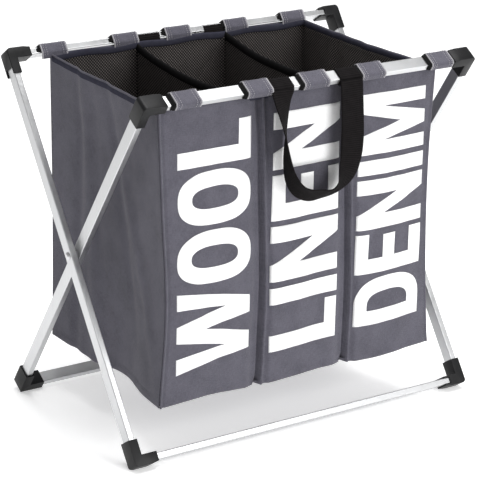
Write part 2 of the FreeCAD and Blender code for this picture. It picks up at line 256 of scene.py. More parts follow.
def wave(finish, where, axis, period):
    # One ridge per period along U or V, from 0 to 1.
    split = finish.node("SeparateXYZ")
    finish.join(where, split.inputs[0])
    turned = finish.math("MULTIPLY", split.outputs[axis], pi / period)
    return finish.math("ABSOLUTE", finish.math("SINE", turned))


weavePeriod = 0.0011      # width of one thread of the grey cloth
netPeriod = 0.0035      # between the cords of the black net


def weaveHeight(finish, where, period):
    # Plain weave: warp and weft threads pass over each other in a chequer.
    checker = finish.node("TexChecker", Scale=1 / period)
    finish.join(where, checker.inputs["Vector"])
    warp = finish.math("MULTIPLY", wave(finish, where, 0, period), checker.outputs["Fac"])
    other = finish.math("SUBTRACT", 1.0, checker.outputs["Fac"])
    return finish.math("ADD", warp, finish.math("MULTIPLY", wave(finish, where, 1, period), other))


def polyesterFinish(name="grey polyester", light=(0.108, 0.104, 0.130), dark=(0.050, 0.048, 0.062)):
    cloth = Finish(name, light, 0.86)
    cloth.set("Sheen Weight", 0.12)
    cloth.set("Sheen Roughness", 0.5)
    cloth.set("Specular IOR Level", 0.25)
    flat = cloth.coordinates("cloth")
    threads = weaveHeight(cloth, flat, weavePeriod)
    slub = cloth.noise(cloth.coordinates("cloth", scale=(1, 9, 1)), 130, 3)
    slubAcross = cloth.noise(cloth.coordinates("cloth", scale=(9, 1, 1)), 130, 3)
    blotch = cloth.noise(flat, 26, 4)
    mixed = cloth.math("ADD", cloth.math("MULTIPLY", slub, 0.45), cloth.math("MULTIPLY", slubAcross, 0.45))
    mixed = cloth.math("ADD", mixed, cloth.math("MULTIPLY", blotch, 0.45))
    mixed = cloth.math("ADD", mixed, cloth.math("MULTIPLY", threads, 0.22))
    cloth.tint(cloth.spread(mixed, 0.56, 0.92, 0, 1), dark, light)
    fine = cloth.bump(threads, 0.45, 0.0004)
    cloth.bump(cloth.noise(flat, 60, 4), 0.25, 0.0015, fine)
    return cloth.material


def meshFinish():
    net = Finish("black mesh lining", (0.02, 0.02, 0.022), 0.7)
    net.set("Specular IOR Level", 0.25)
    turned = net.coordinates("cloth", rotation=(0, 0, pi / 4))
    a = wave(net, turned, 0, netPeriod)
    b = wave(net, turned, 1, netPeriod)
    hole = net.math("MULTIPLY", a, b)
    share = net.spread(hole, 0.38, 0.62, 0, 1)
    uneven = net.spread(net.noise(net.coordinates("cloth"), 30, 3), 0.3, 0.7, 0.75, 1.0)
    net.tint(net.math("MULTIPLY", share, uneven), (0.006, 0.0054, 0.0054), (0.15, 0.133, 0.127))
    net.bump(net.math("SUBTRACT", 1.0, share), 0.7, 0.0006)
    return net.material


def tapeFinish(name, colour, high, period=0.0016):
    tape = Finish(name, colour, 0.9)
    tape.set("Specular IOR Level", 0.06)
    flat = tape.coordinates("cloth")
    ribs = wave(tape, flat, 1, period)
    threads = weaveHeight(tape, flat, 0.0007)
    uneven = tape.noise(flat, 90, 4)
    total = tape.math("ADD", tape.math("MULTIPLY", ribs, 0.5), tape.math("MULTIPLY", uneven, 0.5))
    tape.tint(tape.spread(total, 0.2, 0.8, 0, 1), colour, high)
    tape.bump(ribs, 0.6, 0.0005, tape.bump(threads, 0.35, 0.0003))
    return tape.material


def plasticFinish(name, colour, high, roughness=0.42):
    plastic = Finish(name, colour, roughness)
    plastic.set("Specular IOR Level", 0.22)
    where = plastic.coordinates()
    grain = plastic.noise(where, 900, 2)
    cloudy = plastic.noise(where, 35, 3)
    plastic.tint(plastic.spread(cloudy, 0.3, 0.7, 0, 1), colour, high)
    rough = plastic.spread(cloudy, 0.3, 0.7, roughness - 0.06, roughness + 0.1)
    plastic.join(rough, plastic.shader.inputs["Roughness"])
    plastic.bump(grain, 0.25, 0.0003)
    return plastic.material


def tubeFinish(name, turn):
    # Drawn aluminium: fine grooves along the tube, read across the frame's own plane.
    tube = Finish(name, (0.66, 0.665, 0.67), 0.36, 1.0)
    centred = (0, -pivot.z * sin(-turn), -pivot.z * cos(turn))
    where = tube.coordinates(location=centred, rotation=(turn, 0, 0))
    split = tube.node("SeparateXYZ")
    tube.join(where, split.inputs[0])
    groovePeriod = 0.005
    turned = tube.math("MULTIPLY", split.outputs[1], pi / groovePeriod)
    ridges = tube.math("ABSOLUTE", tube.math("SINE", turned))
    groove = tube.spread(ridges, 0.0, 0.16, 0, 1)
    streaks = tube.noise(tube.coordinates(rotation=(turn, 0, 0), scale=(400, 400, 3)), 1.0, 3)
    cloudy = tube.noise(tube.coordinates(), 18, 3)
    worn = tube.spread(cloudy, 0.3, 0.7, -0.03, 0.05)
    rough = tube.math("ADD", tube.spread(streaks, 0.3, 0.7, 0.30, 0.42), worn)
    tube.join(rough, tube.shader.inputs["Roughness"])
    tube.tint(cloudy, (0.55, 0.555, 0.565), (0.63, 0.635, 0.64))
    tube.bump(groove, 0.25, 0.0002)
    return tube.material


def threadFinish(name, colour):
    thread = Finish(name, colour, 0.55)
    thread.set("Sheen Weight", 0.3)
    twist = thread.noise(thread.coordinates(), 2500, 2)
    thread.tint(twist, tuple(c * 0.75 for c in colour), colour)
    return thread.material


def inkFinish():
    ink = Finish("white print", (0.88, 0.88, 0.88), 0.6)
    flat = ink.coordinates("cloth")
    worn = ink.noise(flat, 400, 4)
    ink.tint(ink.spread(worn, 0.3, 0.6, 0, 1), (0.86, 0.86, 0.865), (0.92, 0.92, 0.92))
    ink.bump(weaveHeight(ink, flat, weavePeriod), 0.2, 0.0002)
    return ink.material


finishes = {
    "cloth": polyesterFinish(),
    "tabEdge": polyesterFinish("raw tab edge", (0.36, 0.35, 0.37), (0.24, 0.235, 0.25)),
    "mesh": meshFinish(),
    "navy": tapeFinish("navy binding", (0.022, 0.022, 0.034), (0.05, 0.05, 0.07)),
    "blackTape": tapeFinish("black binding", (0.003, 0.003, 0.0032), (0.012, 0.0115, 0.012)),
    "webbing": tapeFinish("black webbing", (0.003, 0.0026, 0.0028), (0.012, 0.0105, 0.0110), 0.0032),
    "velcro": plasticFinish("hook and loop", (0.003, 0.003, 0.0032), (0.008, 0.008, 0.0085), 0.85),
    "plastic": plasticFinish("black plastic", (0.006, 0.006, 0.0065), (0.010, 0.010, 0.011), 0.4),
    "spacer": plasticFinish("grey spacer", (0.2, 0.2, 0.21), (0.26, 0.26, 0.27)),
    "rivet": plasticFinish("rivet steel", (0.55, 0.55, 0.56), (0.65, 0.65, 0.66), 0.3),
    "outerTube": tubeFinish("outer frame tube", lean),
    "innerTube": tubeFinish("inner frame tube", -lean),
    "paleThread": threadFinish("pale thread", (0.4, 0.39, 0.41)),
    "darkThread": threadFinish("dark thread", (0.05, 0.05, 0.065)),
    "ink": inkFinish(),
}
finishes["rivet"].node_tree.nodes["Principled BSDF"].inputs["Metallic"].default_value = 1.0
print("finishes made:", len(finishes))


# Frame.

for name, node in nodes.items():
    own = {"pivot_rivets": "rivet", "pivot_spacers": "spacer"}.get(name)
    if name.endswith(("_leg", "_bar")):
        outer = name.startswith("outer") or name in ("rear_top_bar", "front_bottom_bar")
        own = "outerTube" if outer else "innerTube"
    if own:
        node.data.materials.clear()
        node.data.materials.append(finishes[own])

corner = {
    "edge": 0.0011,      # rounding of the moulding's edges
    "segments": 3,
    "flat": radians(2),      # faces nearer to flat than this are one face
    "sharp": radians(25),      # edges sharper than this are rounded
}


def cornerPiece(name):
    # The moulded corner: the CAD shape with its flat faces merged and its edges rounded.
    bm = bmesh.new()
    bm.from_mesh(nodes[name].data)
    bmesh.ops.remove_doubles(bm, verts=bm.verts, dist=1e-6)
    bmesh.ops.dissolve_limit(bm, angle_limit=corner["flat"], verts=bm.verts, edges=bm.edges)
    sharp = [e for e in bm.edges if len(e.link_faces) == 2 and e.calc_face_angle(0) > corner["sharp"]]
    bmesh.ops.bevel(bm, geom=sharp, offset=corner["edge"], offset_type="OFFSET", affect="EDGES",
                    segments=corner["segments"], profile=0.5, material=-1, clamp_overlap=True)
    bmesh.ops.triangulate(bm, faces=[f for f in bm.faces if len(f.verts) > 4])
    body = nodes[name]["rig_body"]
    piece = makePiece(name + "_moulding", bm, finishes["plastic"], body, [name])
    piece.data.set_sharp_from_angle(angle=radians(40))
    return piece


for name in [n for n in nodes if n.endswith("_connector")]:
    cornerPiece(name)
print("corners made")


# Bag shape.

bag = {
    # Each upright line of the bag, in X, from its bottom to its top.
    "frontLeft": (-0.2625, -0.2525, -0.2600, -0.2675),
    "frontRight": (0.2465, 0.2360, 0.2335, 0.2400),
    "seams": ((-0.0860, -0.0800, -0.0850, -0.0905), (0.0790, 0.0800, 0.0750, 0.0700)),
    "rearLeft": (-0.243, -0.2405, -0.2405, -0.2415),
    "rearRight": (0.243, 0.2405, 0.2405, 0.2415),
    "billow": 0.0055,      # how far a column stands out between its seams
    "frontTop": place["top"] + 0.006,
    "rearTop": place["top"] + 0.0125,      # the rear edge is drawn up against its bar
    "thickness": 0.0009,
    # Each seam: a groove that opens towards the top, then soft humps as depth, X from the seam and width.
    "groove": {"depth": 0.0068, "deeper": 0.003, "width": 0.0026, "wider": 0.002},
    "seamHumps": ((-0.0042, -0.010, 0.010), (-0.0030, 0.013, 0.005), (0.0042, 0.0058, 0.0021)),
    "notch": 0.006,      # how far a seam is drawn in at the hem
    "hem": 0.035,      # share of the height that the notch takes
}
height = place["top"] - place["bottom"]


def frontOut(x, h):
    # How far the front panel stands out of its flat plane at x, h from 0 at the bottom to 1 at the top.
    left, right = smoothLine(bag["frontLeft"], h), smoothLine(bag["frontRight"], h)
    lines = [left, *(smoothLine(s, h) for s in bag["seams"]), right]
    out = 0.0
    for a, b in zip(lines, lines[1:]):
        if a <= x <= b or (x < left and a == left) or (x > right and b == right):
            t = min(max((x - a) / (b - a), 0), 1)
            out = bag["billow"] * sin(pi * t) ** 0.7 * (0.55 + 0.45 * sin(pi * min(h + 0.15, 1)))
    for index, seam in enumerate(lines[1:-1]):
        d = x - seam
        gap = ramp(h, 0.84, 1.0) if index == 0 else 0.3 * ramp(h, 0.9, 1.0)
        groove = bag["groove"]
        depth = groove["depth"] + groove["deeper"] * gap
        out -= depth * hump(d, 0.0, groove["width"] + groove["wider"] * gap)
        for rise, centre, width in bag["seamHumps"]:
            out += rise * hump(d, centre, width)
        out -= bag["notch"] * (1 - ramp(h, 0, bag["hem"])) * hump(d, -0.001, 0.006)
    # The piping at both edges, then soft creases that fade out towards them.
    out += 0.0022 * hump(x, left + 0.0016, 0.0017) - 0.0012 * hump(x, left + 0.0062, 0.0022)
    out += 0.0016 * hump(x, right - 0.0016, 0.0017)
    flat = ramp(x, left, left + 0.02) * ramp(-x, -right, -right + 0.02)
    out += flat * 0.0016 * wrinkle(x, 3.1, h * height, 0.045, 2.4)
    out += flat * 0.0011 * wrinkle(x, 7.7, h * height, 0.021, 3.0)
    out += 0.0025 * (1 - ramp(h, 0, 0.16)) * wrinkle(x, 1.3, 0.2, 0.05) * flat
    out += 0.0012 * (1 - ramp(h, 0.0, 0.03))
    return out


def frontBottom(x):
    return place["bottom"] - 0.0040 + 0.0025 * sin(x * 31 + 0.6)


def frontPoint(x, h, lift=0.0):
    low = frontBottom(x)
    return Vector((x, place["frontY"] - frontOut(x, h) - lift, low + (bag["frontTop"] - low) * h))


def makeFrontPanel():
    def shape(u, v):
        left, right = smoothLine(bag["frontLeft"], v), smoothLine(bag["frontRight"], v)
        return frontPoint(left + (right - left) * u, v)
    bm = clothGrid(380, 96, (0.504, height), shape)
    panel = makePiece("front_panel_cloth", bm, finishes["cloth"], "bag_front",
                      ["front_panel"])
    thicken(panel, bag["thickness"])
    return folding(panel)


sideWall = {
    "depth": 0.345,
    "tuck": (0.0, 0.007, 0.0225, 0.010, 0.004, 0.0),      # the floor's edge is pulled in at its middle
    "slack": 0.010,      # how far the wall hangs in between its edges
}


def sideX(side, t, h):
    # X of a side wall: t from 0 at the front edge to 1 at the rear, h from 0 to 1 up.
    names = ("frontLeft", "rearLeft") if side < 0 else ("frontRight", "rearRight")
    a, b = (smoothLine(bag[n], h) for n in names)
    pulled = smoothLine(sideWall["tuck"], t) * (1 - ramp(h, 0.0, 0.55)) ** 1.3
    slack = sideWall["slack"] * sin(pi * t) * ramp(h, 0.05, 0.6) * (1 - 0.75 * ramp(h, 0.75, 1.0))
    y = t * sideWall["depth"]
    z = h * height
    ridge = 0.0035 * hump(t, 0.42 - 0.40 * (1 - h) + 0.1 * h, 0.045) * sin(pi * min(h * 1.1, 1))
    ridge -= 0.003 * hump(t, 0.26 + 0.22 * h, 0.04) * ramp(h, 0.02, 0.3)
    ridge += 0.003 * hump(t, 0.62 + 0.1 * h, 0.05)
    ridge -= 0.0025 * hump(t, 0.8 - 0.06 * h, 0.035)
    broad = 0.0022 * wrinkle(y, side * 4.2, z, 0.05, 3.0)
    fine = 0.001 * wrinkle(y, side * 9, z, 0.022, 3.0)
    outward = ridge + sin(pi * t) * (broad + fine) - pulled - slack
    return a + (b - a) * t + side * outward


def sideBottom(side, t):
    return frontBottom(-0.26 if side < 0 else 0.245) - 0.002 * sin(pi * t) + 0.003 * t


def sidePoint(side, t, h, lift=0.0):
    front = place["frontY"] + 0.0006
    rear = place["rearY"] - 0.0036
    low = sideBottom(side, t)
    top = bag["frontTop"] + (bag["rearTop"] - bag["frontTop"]) * t - 0.002 * sin(pi * t)
    return Vector((sideX(side, t, h) + side * lift, front + (rear - front) * t, low + (top - low) * h))


def folding(piece):
    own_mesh(piece)
    return piece


def makeSidePanel(side, hand):
    def shape(u, v):
        return sidePoint(side, 1 - u if side < 0 else u, v)
    bm = clothGrid(150, 150, (0.345, height), shape)
    panel = makePiece(f"{hand}_side_panel_cloth", bm, finishes["cloth"], "rear_frame",
                      [f"{hand}_side_panel"])
    thicken(panel, bag["thickness"])
    return folding(panel)


rearSlack = {
    "lines": (-0.084, 0.084),      # X of the dividers' ends
    "pull": 0.0045,
    "creases": ((0.75, 0.004), (-0.55, 0.0035)),      # slope and depth
    "share": 0.6,
    "inset": 0.0042,
}


def rearIn(x, h):
    # The rear panel's slack: diagonal folds below each divider's end.
    out = 0.0025 * wrinkle(x, 12.0, h * height, 0.05, 2.0)
    drop = (1 - h) * height
    for line in rearSlack["lines"]:
        d = x - line
        out -= rearSlack["pull"] * exp(-abs(d / 0.004) ** 1.4)
        for slope, depth in rearSlack["creases"]:
            crease = depth * hump(d + slope * drop, 0.0, 0.006)
            out += crease * ramp(drop, 0.01, 0.05) * (1 - ramp(drop, 0.12, 0.3))
    return out


def rearPoint(x, h, lift=0.0):
    low = sideBottom(-1, 1.0)
    y = place["rearY"] - rearSlack["inset"] + rearSlack["share"] * rearIn(x, h) - lift
    return Vector((x, y, low + (bag["rearTop"] - low) * h))


def makeRearPanel():
    def shape(u, v):
        left, right = smoothLine(bag["rearLeft"], v), smoothLine(bag["rearRight"], v)
        return rearPoint(right + (left - right) * u, v, -0.0025)
    bm = clothGrid(240, 90, (0.486, height), shape)
    panel = makePiece("rear_panel_cloth", bm, finishes["cloth"], "rear_frame",
                      ["rear_panel"])
    thicken(panel, bag["thickness"])
    return folding(panel)


seamThread = {
    "edgeIn": 0.0058,      # from the front panel's edge
    "rises": (0.018, 0.0265),      # two rows above the side's lower edge, as shares of its height
    "lift": 0.0002,
    "sewing": (0.0024, 0.0017, 0.00038, 0),      # stitch, gap, thickness and material
}


def makeSeamStitches():
    # Rows of thread beside the bag's edges: on the front panel, and round the lower edge of each side.
    lift, sewing = seamThread["lift"], seamThread["sewing"]
    bm = bmesh.new()
    count = 120
    for line, inset in (("frontLeft", seamThread["edgeIn"]), ("frontRight", -seamThread["edgeIn"])):
        shares = [k / count for k in range(3, count - 4)]
        row = [frontPoint(smoothLine(bag[line], h) + inset, h, lift) for h in shares]
        addStitches(bm, row, *sewing)
    folding(makePiece("front_panel_stitches", bm, finishes["darkThread"], "bag_front"))
    for side, hand in ((-1, "left"), (1, "right")):
        bm = bmesh.new()
        for rise in seamThread["rises"]:
            row = [sidePoint(side, k / 60, rise, lift) for k in range(1, 60)]
            addStitches(bm, row, *sewing)
        row = [sidePoint(side, 0.016, k / 60, lift) for k in range(2, 58)]
        addStitches(bm, row, *sewing)
        folding(makePiece(f"{hand}_side_stitches", bm, finishes["darkThread"], "rear_frame"))


makeFrontPanel()
makeSeamStitches()
makeSidePanel(-1, "left")
makeSidePanel(1, "right")
makeRearPanel()
print("outer panels made")


# Linings, dividers and floor.

lining = {
    "gap": 0.0016,      # lining behind its panel
    "thickness": 0.0006,
    "dividerX": (-0.086, 0.082),
    "dividerIn": (0.0150, 0.0075),      # a divider's ends, in from the front and rear panels
    "dividerLow": 0.006,      # its top edge below the panels'
    "sag": 0.020,
    "nearby": [k * 0.0025 for k in range(-2, 3)],      # a lining clears its panel's folds this far each side
    "share": 0.985,      # of the panel's height
}


def makeLinings():
    def front(u, v):
        left, right = smoothLine(bag["frontLeft"], v) + 0.002, smoothLine(bag["frontRight"], v) - 0.002
        h = v * lining["share"]
        point = frontPoint(right + (left - right) * u, h)
        point.y = lining["gap"] + max(frontPoint(point.x + step, h).y for step in lining["nearby"])
        return point

    def rear(u, v):
        left, right = smoothLine(bag["rearLeft"], v), smoothLine(bag["rearRight"], v)
        h = v * lining["share"]
        point = rearPoint(left + (right - left) * u, h)
        point.y = min(rearPoint(point.x + step, h).y for step in lining["nearby"]) - lining["gap"]
        return point

    made = [("front_lining", front, (0.500, 0.440), "bag_front"),
            ("rear_lining", rear, (0.482, 0.440), "rear_frame")]
    for side, hand in ((-1, "left"), (1, "right")):
        def wall(u, v, side=side):
            return sidePoint(side, u if side < 0 else 1 - u, v * 0.98, -lining["gap"])
        made.append((f"{hand}_side_lining", wall, (0.340, 0.437), "rear_frame"))
    for name, shape, flat, body in made:
        bm = clothGrid(220, 90, flat, shape)
        piece = makePiece(name + "_mesh", bm, finishes["mesh"], body, [name])
        thicken(piece, lining["thickness"])
        folding(piece)


def dividerPoint(x, t, h):
    # t from 0 at the front to 1 at the rear.
    front, rear = place["frontY"] + lining["dividerIn"][0], place["rearY"] - lining["dividerIn"][1]
    top = bag["frontTop"] + (bag["rearTop"] - bag["frontTop"]) * t - lining["dividerLow"]
    top -= lining["sag"] * sin(pi * t) ** 0.9
    low = place["bottom"] + 0.0015
    sway = 0.012 * sin(pi * t) * sin(pi * h) * (1 if x < 0 else -0.7)
    sway += sin(pi * t) * 0.004 * wrinkle(t * 0.34, x * 50, h * height, 0.06, 1.5)
    return Vector((x + sway, front + (rear - front) * t, low + (top - low) * h))


def makeDividers():
    for x, hand in zip(lining["dividerX"], ("left", "right")):
        def shape(u, v, x=x):
            return dividerPoint(x, u, v)
        bm = clothGrid(110, 90, (0.338, 0.436), shape)
        piece = makePiece(f"{hand}_divider_mesh", bm, finishes["mesh"], "rear_frame",
                          [f"{hand}_divider"])
        thicken(piece, lining["thickness"], 0.0)
        folding(piece)


def makeFloor():
    def shape(u, v):
        t = 1 - v
        left = sideX(-1, t, 0.0) + 0.001
        right = sideX(1, t, 0.0) - 0.001
        x = left + (right - left) * u
        front, rear = place["frontY"] + 0.0015, place["rearY"] - 0.0055
        low = frontBottom(x) + 0.001 + (sideBottom(-1, 1.0) - frontBottom(x)) * t
        belly = 0.006 * sin(pi * u * 3) ** 2 * sin(pi * v)
        return Vector((x, front + (rear - front) * t, low + 0.002 * sin(pi * t) - belly + 0.003))
    bm = clothGrid(160, 110, (0.490, 0.343), shape)
    floor = makePiece("bag_floor_cloth", bm, finishes["cloth"], "rear_frame",
                      ["bag_floor"])
    thicken(floor, bag["thickness"])
    folding(floor)


makeLinings()
makeDividers()
makeFloor()
print("linings, dividers and floor made")


# Bindings.

binding = {
    "sides": 12,      # corners of the tape's rounded section
    "steps": 120,      # along its length
    "endIn": 0.004,      # the front tape's ends, in from the bag's edges
    "frontIn": 0.0026, "frontLow": 0.006,      # middle of the tape, in and down from the panel's top edge
    "rearIn": 0.0075, "rearLow": 0.0055,
    "sideIn": 0.0008,
}


def tapeAlong(name, route, body, replaced, finish, high=0.010, thick=0.0032):
    # A tape folded over an edge: a rounded section swept along a route of points.
    sides, steps = binding["sides"], binding["steps"]
    section = []
    for k in range(sides):
        a = 2 * pi * k / sides
        section.append((thick / 2 * cos(a), high / 2 * sin(a)))
    bm = bmesh.new()
    uv = bm.loops.layers.uv.new("cloth")
    rings = []
    points = [route(i / steps) for i in range(steps + 1)]
    length = 0.0
    for i, point in enumerate(points):
        ahead = points[min(i + 1, steps)] - points[max(i - 1, 0)]
        side = Vector((ahead.y, -ahead.x, 0)).normalized()
        up = side.cross(ahead).normalized()
        up = up if up.z > 0 else -up
        rings.append([bm.verts.new(point + side * a + up * b) for a, b in section])
    for i, (one, two) in enumerate(zip(rings, rings[1:])):
        step = (points[i + 1] - points[i]).length
        for k in range(sides):
            face = bm.faces.new((one[k], one[(k + 1) % sides], two[(k + 1) % sides], two[k]))
            for loop, (a, b) in zip(face.loops, ((0, 0), (0, 1), (1, 1), (1, 0))):
                loop[uv].uv = ((k + b) * high / 6, length + a * step)
        length += step
    for ring in (rings[0], rings[-1]):
        bm.faces.new(ring)
    bmesh.ops.recalc_face_normals(bm, faces=bm.faces)
    return makePiece(name, bm, finish, body, replaced)


def makeBindings():
    def front(t):
        left, right = bag["frontLeft"][-1] + binding["endIn"], bag["frontRight"][-1] - binding["endIn"]
        x = left + (right - left) * t
        return Vector((x, place["frontY"] + binding["frontIn"], bag["frontTop"] - binding["frontLow"]))

    def rear(t):
        left, right = bag["rearLeft"][-1], bag["rearRight"][-1]
        x = left + (right - left) * t
        z = bag["rearTop"] - binding["rearLow"] + 0.0012 * sin(x * 60)
        return Vector((x, place["rearY"] - binding["rearIn"], z))
    navy = finishes["navy"]
    tape = tapeAlong("front_binding_tape", front, "bag_front", ["front_binding"], navy)
    folding(tape)
    tape = tapeAlong("rear_binding_tape", rear, "rear_frame", ["rear_binding"], navy, 0.011)
    folding(tape)
    for side, hand in ((-1, "left"), (1, "right")):
        def edge(t, side=side):
            point = sidePoint(side, 0.012 + 0.976 * t, 0.985)
            return point - Vector((side * binding["sideIn"], 0, 0))
        tape = tapeAlong(f"{hand}_side_binding_tape", edge, "rear_frame", [f"{hand}_side_binding"],
                         navy)
        folding(tape)
    for x, hand in zip(lining["dividerX"], ("left", "right")):
        def top(t, x=x):
            return dividerPoint(x, t, 0.995)
        tape = tapeAlong(f"{hand}_divider_binding_tape", top, "rear_frame", [f"{hand}_divider_binding"],
                         finishes["blackTape"], 0.013, 0.0055)
        folding(tape)


makeBindings()
print("bindings made")


# Tabs, hook and loop tape and straps on the bars.

barSection = {"wide": 0.020, "thin": 0.010, "round": 0.0025}


def barPoint(front, across, up, x):
    # A point in a top bar's own section: across is towards the inside of the bag, up is off its upper face.
    centre = frontBar if front else rearBar
    sign = 1 if front else -1
    return Vector((x, centre.y + sign * (across * cos(lean) - up * sin(lean)),
                   centre.z + across * sin(lean) + up * cos(lean)))


def wrapLine(front, x, clear, tail, reach):
    # Round a bar from the panel's top edge behind it, over its upper face and down its outer face.
    a, b = barSection["wide"] / 2 + clear, barSection["thin"] / 2 + clear
    r = barSection["round"]
    corners = [(a - 0.001 + tail[0], -b - tail[1]), (a, -b + r), (a, b - r), (a - r, b),
               (-a + r, b), (-a, b - r), (-a, reach)]
    points = []
    for i, (p, q) in enumerate(zip(corners, corners[1:])):
        count = 8 if i in (0, 3, 5) else 4      # the long runs have more points than the bends
        for k in range(count):
            f = k / count
            points.append((p[0] + (q[0] - p[0]) * f, p[1] + (q[1] - p[1]) * f))
    points.append(corners[-1])
    return [barPoint(front, c, d, x) for c, d in points]


def stripAlong(bm, points, width, thickness, cells, edge=0.0):
    # A strip of cloth whose middle line is a list of points, all at one X; edge marks a border at each side.
    steps = len(points) - 1
    lengths = [0.0]
    for p, q in zip(points, points[1:]):
        lengths.append(lengths[-1] + (q - p).length)
    made = bmesh.ops.create_grid(bm, x_segments=cells, y_segments=steps, size=0.5)
    uv = bm.loops.layers.uv.get("cloth") or bm.loops.layers.uv.new("cloth")
    verts = set(made["verts"])
    faces = [f for f in bm.faces if all(v in verts for v in f.verts)]
    for face in faces:
        for loop in face.loops:
            row = round((loop.vert.co.y + 0.5) * steps)
            loop[uv].uv = ((loop.vert.co.x + 0.5) * width, lengths[row])
        middle = sum(v.co.x for v in face.verts) / len(face.verts)
        face.material_index = 1 if edge and abs(middle) > 0.5 - edge / width else 0
    for vert in made["verts"]:
        row = round((vert.co.y + 0.5) * steps)
        vert.co = points[row] + Vector((vert.co.x * width, 0, 0))
    bmesh.ops.recalc_face_normals(bm, faces=faces)
    bmesh.ops.solidify(bm, geom=faces, thickness=thickness)


tabs = {
    "front": ((-0.2265, 0.044), (-0.1025, 0.044), (-0.0005, 0.047), (0.1055, 0.044), (0.2375, 0.042)),
    "rear": ((-0.2355, 0.046), (-0.106, 0.046), (-0.0075, 0.048), (0.1045, 0.045), (0.219, 0.047)),
    "clear": 0.0028,      # the tab's inner face above the bar
    "rearLoose": 0.0012,      # the rear tabs stand this much further off
    "thickness": 0.0011,
    "tail": (-0.004, 0.006),      # how far the inner end runs in and down to the panel
    "reach": -0.0025,      # where the outer end stops on the bar's outer face
    "border": 0.0028,
    "stitchIns": (0.0042, 0.0087),      # two rows in from each side
    "stitchReach": -0.0015,
}


def makeTab(front, number, centre, width):
    side = "front" if front else "rear"
    clear = tabs["clear"] + (0.0 if front else tabs["rearLoose"])
    points = wrapLine(front, centre, clear, tabs["tail"], tabs["reach"])
    bm = bmesh.new()
    stripAlong(bm, points, width, tabs["thickness"], 20, edge=tabs["border"])
    above = clear + tabs["thickness"] * 1.1
    for edge in (-1, 1):
        for inset in tabs["stitchIns"]:
            x = edge * (width / 2 - inset)
            row = wrapLine(front, centre + x, above, tabs["tail"], tabs["stitchReach"])
            addStitches(bm, row[6:], material=2)
    face = -barSection["wide"] / 2 - clear - 0.0008
    hem = [barPoint(front, face, 0.0012, centre + half * (width - 0.01)) for half in (-0.5, 0.5)]
    addStitches(bm, hem, material=2)
    layers = [finishes["cloth"], finishes["tabEdge"], finishes["paleThread"]]
    tab = makePiece(f"{side}_tab_{number}_loop", bm, layers, None)
    if front:
        start, end = (0, 0, frontBar.z - 0.006), (0, 0, place["top"] - 0.004)
        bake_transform(tab)
        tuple(start)
        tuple(end)
    else:
        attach(tab, "rear_frame")
    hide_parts(f"{side}_tab_{number}")
    return tab


velcro = {
    "layers": ((0.0004, -0.0075), (0.0015, -0.0045)),      # height above the bar, and shift in X past the tab's left edge: the black that shows there is the real hook and loop tape and also painted shade for the loop's shaded inside
    "reach": -0.0035,
    "narrower": 0.002,
    "thickness": 0.0009,
}


def makeVelcro(front):
    side = "front" if front else "rear"
    bm = bmesh.new()
    for centre, width in tabs[side]:
        for clear, shadeShift in velcro["layers"]:
            # Each strip is moved sideways past the tab, so its black stands in as painted shade for the
            # inside of the loose loop, as well as being the tape itself.
            points = wrapLine(front, centre + shadeShift, clear, (0, 0), velcro["reach"])[8:]
            stripAlong(bm, points, width - velcro["narrower"], velcro["thickness"], 8)
    return makePiece(f"{side}_tab_velcro_and_loop_shade", bm, finishes["velcro"], f"{side}_frame",
                     [f"{side}_tab_velcro"])


straps = {
    "front": (-0.0625, 0.0625),
    "rear": (-0.0615, 0.0635),
    "width": 0.0405,
    "thickness": 0.0016,
    "clear": 0.0006,
    "tail": (-0.003, 0.010),
    "reach": -0.006,
}


def makeAnchors(front):
    side = "front" if front else "rear"
    bm = bmesh.new()
    for x in straps[side]:
        points = wrapLine(front, x, straps["clear"], straps["tail"], straps["reach"])
        stripAlong(bm, points, straps["width"], straps["thickness"], 12)
    return makePiece(f"{side}_handle_anchor_webbing", bm, finishes["webbing"], f"{side}_frame",
                     [f"{side}_handle_anchors"])


for front in (True, False):
    for number, (centre, width) in enumerate(tabs["front" if front else "rear"], start=1):
        makeTab(front, number, centre, width)
    makeVelcro(front)
    makeAnchors(front)
print("tabs and straps made")


# Handles.

# Points along each webbing loop: X, distance out from the bar's centre, Z, turn of the width in degrees.
handles = {
    "front": (
        (-0.0625, 0.0125, 0.5480, 0), (-0.0630, 0.0150, 0.530, 22), (-0.0605, 0.0165, 0.505, 41),
        (-0.0580, 0.0175, 0.479, 55), (-0.0560, 0.0180, 0.452, 68), (-0.0515, 0.0182, 0.427, 80),
        (-0.0410, 0.0182, 0.4035, 98), (-0.0240, 0.0180, 0.3880, 118), (-0.0030, 0.0178, 0.3810, 128),
        (0.0190, 0.0178, 0.3805, 124), (0.0390, 0.0178, 0.3885, 140), (0.0540, 0.0178, 0.4060, 166),
        (0.0615, 0.0178, 0.431, 178), (0.0635, 0.0175, 0.460, 182), (0.0635, 0.0165, 0.490, 180),
        (0.0625, 0.0150, 0.522, 180), (0.0625, 0.0125, 0.5480, 180),
    ),
    "rear": (
        (-0.0615, 0.0125, 0.5480, 0), (-0.0615, 0.0145, 0.525, 0), (-0.0615, 0.0160, 0.490, 8),
        (-0.061, 0.0170, 0.455, 30), (-0.058, 0.0175, 0.424, 58), (-0.044, 0.0178, 0.398, 80),
        (-0.018, 0.0178, 0.384, 88), (0.014, 0.0178, 0.382, 90), (0.043, 0.0178, 0.394, 88),
        (0.0585, 0.0175, 0.420, 66), (0.062, 0.0170, 0.452, 36), (0.063, 0.0160, 0.488, 8),
        (0.0635, 0.0145, 0.525, 0), (0.0635, 0.0125, 0.5480, 0),
    ),
    "width": 0.0405,
    "thickness": 0.0016,
    "length": 0.42,      # only sets the first UV map, which the spans below replace
    "steps": 200,
    "push": 0.02,      # share of the width that a turned loop stands further out
}


